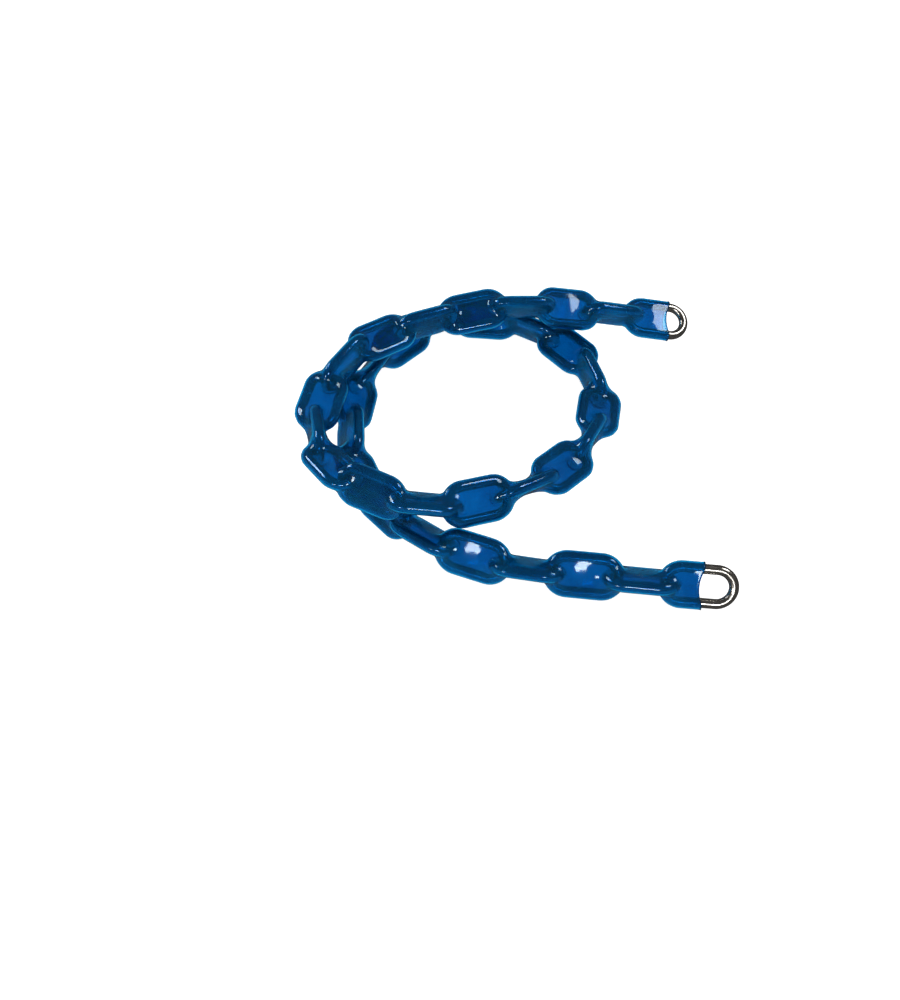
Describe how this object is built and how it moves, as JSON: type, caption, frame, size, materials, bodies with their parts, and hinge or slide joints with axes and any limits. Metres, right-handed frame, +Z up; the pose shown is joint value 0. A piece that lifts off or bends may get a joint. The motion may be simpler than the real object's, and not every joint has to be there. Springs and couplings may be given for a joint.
{
  "type": "sleeved steel chain",
  "caption": "Length of welded steel chain in a shrunk translucent plastic sleeve, bare at both ends, lying in crossed loops.",
  "frame": {"origin": "on the floor, under the middle of the chain's overall box", "axes": "+Z up from the floor that the chain lies on, +X from the turn of the loop towards the two free ends, +Y from the near end towards the far end"},
  "size_m": [0.2666, 0.2622, 0.0567],
  "materials": {
    "zinc_plated_steel": "bright zinc plating, smooth, slightly worn",
    "blue_film": "glossy translucent royal blue film, shrunk tight"
  },
  "bodies": {
    "root": {"link_01": "zinc_plated_steel", "link_02": "zinc_plated_steel", "link_03": "zinc_plated_steel", "link_04": "zinc_plated_steel", "link_05": "zinc_plated_steel", "link_06": "zinc_plated_steel", "link_07": "zinc_plated_steel", "link_08": "zinc_plated_steel", "link_09": "zinc_plated_steel", "link_10": "zinc_plated_steel", "link_11": "zinc_plated_steel", "link_12": "zinc_plated_steel", "link_13": "zinc_plated_steel", "link_14": "zinc_plated_steel", "link_15": "zinc_plated_steel", "link_16": "zinc_plated_steel", "link_17": "zinc_plated_steel", "link_18": "zinc_plated_steel", "link_19": "zinc_plated_steel", "link_20": "zinc_plated_steel", "link_21": "zinc_plated_steel", "link_22": "zinc_plated_steel", "link_23": "zinc_plated_steel", "link_24": "zinc_plated_steel", "link_25": "zinc_plated_steel", "link_26": "zinc_plated_steel", "link_27": "zinc_plated_steel", "link_28": "zinc_plated_steel", "link_29": "zinc_plated_steel", "link_30": "zinc_plated_steel", "link_31": "zinc_plated_steel", "link_32": "zinc_plated_steel", "link_33": "zinc_plated_steel", "link_34": "zinc_plated_steel", "link_35": "zinc_plated_steel", "sleeve": "blue_film"}
  },
  "joints": []
}
